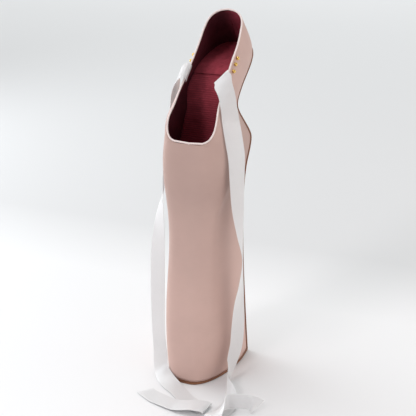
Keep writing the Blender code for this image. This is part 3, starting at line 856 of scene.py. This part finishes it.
# Studio area lights: name, place, point aimed at, size across and up, power and colour.
LIGHTS = (
    ("light_key", (-0.72, -1.45, 1.62), (0.0, 0.0, 0.40), (0.40, 0.40), 8.5, (1.0, 0.91, 0.93)),
    ("light_left", (-1.70, 0.25, 0.60), (0.0, 0.0, 0.20), (1.2, 1.0), 12.0, (0.94, 0.97, 1.0)),
    ("light_right", (1.30, 0.15, 0.62), (0.0, 0.15, 0.30), (2.6, 1.1), 4.2, (1.0, 0.80, 0.72)),
    ("light_side", (1.15, -0.75, 0.30), (0.03, -0.08, 0.20), (1.2, 0.5), 1.9, (1.0, 0.93, 0.90)),
    ("light_low", (-0.30, -0.75, 0.10), (0.0, 0.0, 0.08), (0.8, 0.12), 0.45, (1.0, 0.98, 0.98)),
)
SUN_FROM = (-0.50, 0.12, 1.3)
SUN_STRENGTH = 1.2
SUN_SPREAD = 50.0

# The world turns from dim in front to pale behind, between these two directions in depth.
WORLD_FRONT = (0.17, 0.165, 0.165)
WORLD_BACK = (0.73, 0.75, 0.75)
WORLD_TURN = (-0.9, 0.6)


class BALLET_HEEL_OT_stage(Operator):
    """Camera, floor, world and soft studio lights"""
    bl_idname = "ballet_heel.stage"
    bl_label = "Stage"

    def execute(self, context):
        scene = context.scene
        camera_data = bpy.data.cameras.new("camera")
        camera_data.lens = CAMERA_LENS
        camera_data.sensor_width = SENSOR
        camera_data.clip_end = CLIP_END
        camera = bpy.data.objects.new("camera", camera_data)
        scene.collection.objects.link(camera)
        turn, pitch, roll = (Matrix.Rotation(math.radians(angle), 4, axis) for angle, axis in (
            (CAMERA_TURN, "Z"), (90.0 - CAMERA_PITCH, "X"), (CAMERA_ROLL, "Z")))
        camera.matrix_world = Matrix.Translation(CAMERA_PLACE) @ turn @ pitch @ roll
        scene.camera = camera
        self.add_floor(context)
        self.add_lights(scene)
        self.add_world(scene)
        scene.view_settings.view_transform = "Standard"
        return {"FINISHED"}

    def add_floor(self, context):
        shape = bmesh.new()
        bmesh.ops.create_circle(shape, cap_ends=True, segments=96, radius=FLOOR_RADIUS)
        finish = floor_finish(context.scene.ballet_heel_colours.floor)
        floor = add_piece("studio_floor", shape, finish)
        floor.location.z = -FLOOR_DROP

    def add_light(self, scene, name, kind, aim):
        light = bpy.data.objects.new(name, bpy.data.lights.new(name, kind))
        light.rotation_euler = aim.to_track_quat("-Z", "Y").to_euler()
        scene.collection.objects.link(light)
        return light

    def add_lights(self, scene):
        for name, spot, target, size, power, colour in LIGHTS:
            light = self.add_light(scene, name, "AREA", Vector(target) - Vector(spot))
            light.location = spot
            light.visible_camera = False
            light.data.shape = "RECTANGLE"
            light.data.size, light.data.size_y = size
            light.data.energy = power
            light.data.color = colour
        sky = self.add_light(scene, "light_sky", "SUN", -Vector(SUN_FROM))
        sky.data.energy = SUN_STRENGTH
        sky.data.angle = math.radians(SUN_SPREAD)

    def add_world(self, scene):
        nodes = Nodes("studio_world", "worlds", "Background")
        heading = nodes.add("ShaderNodeTexCoord").outputs["Generated"]
        front, back = WORLD_TURN
        turn = nodes.eased(nodes.axis("Y", heading), From_Min=front, From_Max=back)
        colour = nodes.mixed(turn, WORLD_FRONT, WORLD_BACK)
        scene.world = nodes.finish(Color=colour, Strength=1.0)


def make_tie(name, stations, sign, sizes, finish):
    """One ribbon: a thin flat band swept through its stations, on one side of the shoe."""
    rows = smooth_path(stations, RIBBON_STEPS)
    centre, across = rows[:, :3], rows[:, 3:]
    along = unit(np.gradient(centre, axis=0))
    through = np.cross(along, unit(across))
    slant = np.linalg.norm(through, axis=1, keepdims=True)
    across = unit(across) / np.maximum(slant, SLANT_LIMIT)
    through = through / slant
    half = sizes.ribbon_width / MM / 2
    thick = sizes.ribbon_thickness / MM / 2
    run = run_along(centre)
    mirror = np.array((1.0, sign, 1.0))
    shares = np.linspace(-1.0, 1.0, RIBBON_COLUMNS + 1)
    order = [(1.0, v) for v in shares] + [(-1.0, v) for v in shares[::-1]]
    rings = [[(centre[i] + across[i] * half * v + through[i] * thick * face) * mirror
              for face, v in order] for i in range(len(rows))]
    maps = [[(half * v * MM, length * MM) for _, v in order] for length in run]
    tie = settle(band_piece(name, rings, maps, finish), "white_satin", name)
    tie.name = name + "_satin"


class BALLET_HEEL_OT_ties(Operator):
    """Two white satin ribbon ties, folded over the topline and down to the floor"""
    bl_idname = "ballet_heel.ties"
    bl_label = "Ribbon ties"

    def execute(self, context):
        sizes = context.scene.ballet_heel_sizes
        finish = satin_finish(context.scene.ballet_heel_colours.satin)
        make_tie("ribbon_lateral", LATERAL_RIBBON, 1, sizes, finish)
        make_tie("ribbon_medial", MEDIAL_RIBBON, -1, sizes, finish)
        return {"FINISHED"}


def upper_lines():
    """Low and high side-view lines of the leather, row by row from the base to the heel."""
    edge = sole_edge(BACK_SOLE + GAP)
    edge = edge[edge[:, 1] > BASE_SOLE + GAP]
    heights = np.linspace(BASE_SOLE + GAP, LEDGE_HEIGHT, COLUMN_ROWS)
    order = np.argsort(edge[:, 1])
    column_low = np.stack([np.interp(heights, edge[order, 1], edge[order, 0]), heights], axis=1)
    column_high = np.stack([size_at("front", heights), heights], axis=1)
    rim = topline(RIM_DROP)
    ball = np.linspace(LEDGE_HEIGHT, rim[0][1], BALL_ROWS + 1)[1:]
    ball_high = np.stack([size_at("front", ball), ball], axis=1)
    rim_high = spaced_on_wall(rim, TOPLINE_ROWS + 1)[1:]
    arch = until_back(np.vstack([column_low[-1], edge[edge[:, 1] > LEDGE_HEIGHT]]))
    arch_low = spaced_on_wall(arch, BALL_ROWS + TOPLINE_ROWS + 1)[1:]
    return np.vstack([column_low, arch_low]), np.vstack([column_high, ball_high, rim_high])


class BALLET_HEEL_OT_upper(Operator):
    """Blush leather from the topline down to the base"""
    bl_idname = "ballet_heel.upper"
    bl_label = "Leather upper"

    def execute(self, context):
        sizes = context.scene.ballet_heel_sizes
        finish = leather_finish(context.scene.ballet_heel_colours.blush)
        low, high = upper_lines()
        upper = wall_piece("upper_leather", low, high, 0.0, sizes.leather, finish)
        settle(upper, "blush_leather", "upper")
        return {"FINISHED"}


class BALLET_HEEL_OT_lining(Operator):
    """Wine suede lining of the foot's room"""
    bl_idname = "ballet_heel.lining"
    bl_label = "Suede lining"

    def execute(self, context):
        sizes = context.scene.ballet_heel_sizes
        colour = context.scene.ballet_heel_colours.lining
        inset = sizes.leather / MM
        bed = footbed(INSOLE - 0.5)[::-1]
        front = size_at("front", bed[:, 1]) - inset
        bed = until_back(bed[bed[:, 0] < front - 1.0], inset)
        rim = topline(RIM_DROP)
        toe = np.linspace(bed[0][1] + 1.0, rim[0][1], 2 * BALL_ROWS + 1)[:-1]
        high = np.vstack([np.stack([size_at("front", toe) - inset, toe], axis=1),
                          spaced_on_wall(rim, TOPLINE_ROWS + 1)])
        low = spaced_on_wall(bed, len(high))
        finish = suede_finish(colour, "wine_lining_finish", False, LINING_SIDE_SHADING)
        lining = wall_piece("lining", low, high, inset, sizes.lining, finish)
        settle(lining, "wine_suede")
        return {"FINISHED"}


class BALLET_HEEL_OT_topline(Operator):
    """Leather folded over the edge of the opening"""
    bl_idname = "ballet_heel.topline"
    bl_label = "Folded topline"

    def execute(self, context):
        radius = context.scene.ballet_heel_sizes.fold / MM
        line = spaced_on_wall(topline(FOLD_DROP), TOPLINE_ROWS + 1)
        points, normals = (np.vstack([find(line, "lateral", WALL / 2)[:-1],
                                      find(line, "medial", WALL / 2)[:0:-1]])
                           for find in (wall_at, normals_at))
        around = unit(np.roll(points, -1, axis=0) - np.roll(points, 1, axis=0))
        normals = unit(normals - around * np.sum(normals * around, axis=1, keepdims=True))
        upward = np.cross(around, normals)
        upward *= np.sign(upward[:, 2:3])
        angles = [2 * math.pi * k / FOLD_SIDES for k in range(FOLD_SIDES)]
        shape = bmesh.new()
        rings = [[shape.verts.new(place(
            point + out * radius * math.cos(a) + up * radius * math.sin(a))) for a in angles]
            for point, out, up in zip(points, normals, upward)]
        join_rings(shape, rings + rings[:1])
        bmesh.ops.recalc_face_normals(shape, faces=shape.faces)
        finish = fold_highlight_finish(context.scene.ballet_heel_colours.fold)
        settle(add_piece("topline_fold", shape, finish), "blush_leather")
        return {"FINISHED"}


class BALLET_HEEL_OT_outsole(Operator):
    """Brown leather outsole under the base, up the back and along the arch"""
    bl_idname = "ballet_heel.outsole"
    bl_label = "Outsole"

    def execute(self, context):
        outer_up = until_back(sole_edge(0.0), -SOLE_LIP)
        inner_up = sole_edge(BACK_SOLE)
        inner_up = until_back(inner_up[inner_up[:, 1] > BASE_SOLE], -SOLE_LIP)
        corner = np.array((inner_up[0][0] - 0.1, BASE_SOLE))
        inner_up = np.vstack([corner, inner_up])
        ease = 1 - np.cos(np.linspace(0.0, math.pi / 2, TOE_ROWS))
        base_outer, base_inner = (self.base_line(ease, height, back)
                                  for height, back in ((0.0, 0.0), (BASE_SOLE, corner[0])))
        outer = np.vstack([base_outer, spaced(outer_up, SOLE_ROWS)[1:]])
        inner = np.vstack([base_inner, spaced(inner_up, SOLE_ROWS)[1:]])
        finish = sole_finish(context.scene.ballet_heel_colours.sole)
        settle(strip("outsole_leather", outer, inner, -SOLE_LIP, 0.6, finish),
               "sole_leather", "outsole")
        return {"FINISHED"}

    def base_line(self, ease, height, back):
        """Line under the base from just behind the toe's tip, with close rows at the toe."""
        tip = size_at("front", height) + SOLE_LIP - 0.02
        return np.stack([tip - ease * (tip - back), ease * 0 + height], axis=1)


def footbed_line(depth, lowest):
    """Line of the footbed at a depth, from the heel down to a height or to the toes."""
    line = footbed(depth)[::-1]
    line = line[line[:, 0] < size_at("front", line[:, 1]) - WALL - GAP - 0.5]
    line = until_back(line, WALL + GAP)
    return spaced(line[line[:, 1] >= lowest], FOOTBED_ROWS)


class BALLET_HEEL_OT_footbed(Operator):
    """Ribbed suede insole and the smooth pad on the heel seat"""
    bl_idname = "ballet_heel.footbed"
    bl_label = "Insole and heel pad"

    def execute(self, context):
        colour = context.scene.ballet_heel_colours.wine
        ribbed = suede_finish(colour, "ribbed_insole_finish", True)
        # The pad's suede is painted darker, as shade from the medial wall
        smooth = suede_finish(tint(colour, PAD_PAINTED_SHADE), "heel_pad_finish", False)
        top, bottom = footbed_line(0.0, 0.0), footbed_line(INSOLE, 0.0)
        insole = strip("insole_suede", top, bottom, WALL + GAP, 0.6, ribbed)
        settle(insole, "wine_suede", "insole")
        top, bottom, edge = (footbed_line(depth, PAD_SEAM_HEIGHT)
                             for depth in (-HEEL_PAD - GAP, -GAP, -PAD_EDGE_LIFT))
        left = np.linspace(1.0, 0.0, FOOTBED_ROWS)[:, None] * PAD_RUN
        share = np.clip(left / PAD_FEATHER, 0.0, 1.0)
        bottom = edge + (bottom - edge) * share
        top = bottom + (top - bottom) * np.clip(share, PAD_EDGE_SHARE, 1.0)
        pad = strip("heel_pad", top, bottom, WALL + GAP, 0.5, smooth)
        settle(pad, "wine_suede", "heel_sock")
        return {"FINISHED"}


class BALLET_HEEL_OT_studs(Operator):
    """Three gold ball studs on each side"""
    bl_idname = "ballet_heel.studs"
    bl_label = "Ball studs"

    def execute(self, context):
        radius = context.scene.ballet_heel_sizes.stud
        finish = gold_finish(context.scene.ballet_heel_colours.gold)
        for side_name in SIDES:
            seats = wall_at(STUDS, side_name)
            normals = normals_at(STUDS, side_name)
            for number, (seat, normal) in enumerate(zip(seats, normals), 1):
                shape = bmesh.new()
                bmesh.ops.create_uvsphere(shape, u_segments=32, v_segments=20, radius=radius)
                name = "stud_" + side_name + "_" + str(number)
                ball = add_piece(name + "_ball", shape, finish)
                ball.location = place(seat + normal * STUD_STAND)
                settle(ball, "polished_gold", name)
        return {"FINISHED"}


class BALLET_HEEL_OT_block(Operator):
    """Board finish on the block that the leather hides"""
    bl_idname = "ballet_heel.block"
    bl_label = "Platform block"

    def execute(self, context):
        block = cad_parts["platform_block"]
        block.data.materials.clear()
        block.data.materials.append(board_finish(context.scene.ballet_heel_colours.board))
        return {"FINISHED"}


class BALLET_HEEL_PT_panel(Panel):
    """Lists the steps that dress the shoe, with its sizes and colours"""
    bl_idname = "BALLET_HEEL_PT_panel"
    bl_label = "Ballet heel"
    bl_space_type = "VIEW_3D"
    bl_region_type = "UI"
    bl_category = "Ballet heel"

    def draw(self, context):
        for step in STEPS:
            self.layout.operator(step.bl_idname)
        for group in (context.scene.ballet_heel_sizes, context.scene.ballet_heel_colours):
            box = self.layout.box()
            for key in group.__annotations__:
                box.prop(group, key)


STEPS = (BALLET_HEEL_OT_stage, BALLET_HEEL_OT_ties, BALLET_HEEL_OT_upper,
         BALLET_HEEL_OT_lining, BALLET_HEEL_OT_topline, BALLET_HEEL_OT_outsole,
         BALLET_HEEL_OT_footbed, BALLET_HEEL_OT_studs, BALLET_HEEL_OT_block)
GROUPS = (BalletHeelSizes, BalletHeelColours)


def register():
    for made in (*GROUPS, *STEPS, BALLET_HEEL_PT_panel):
        bpy.utils.register_class(made)
    bpy.types.Scene.ballet_heel_sizes = PointerProperty(type=BalletHeelSizes)
    bpy.types.Scene.ballet_heel_colours = PointerProperty(type=BalletHeelColours)


def unregister():
    del bpy.types.Scene.ballet_heel_colours
    del bpy.types.Scene.ballet_heel_sizes
    for made in reversed((*GROUPS, *STEPS, BALLET_HEEL_PT_panel)):
        bpy.utils.unregister_class(made)


def main():
    """Dresses the shoe step by step."""
    register()
    for step in STEPS:
        group, action = step.bl_idname.split(".")
        getattr(getattr(bpy.ops, group), action)()


if __name__ == "__main__":
    main()
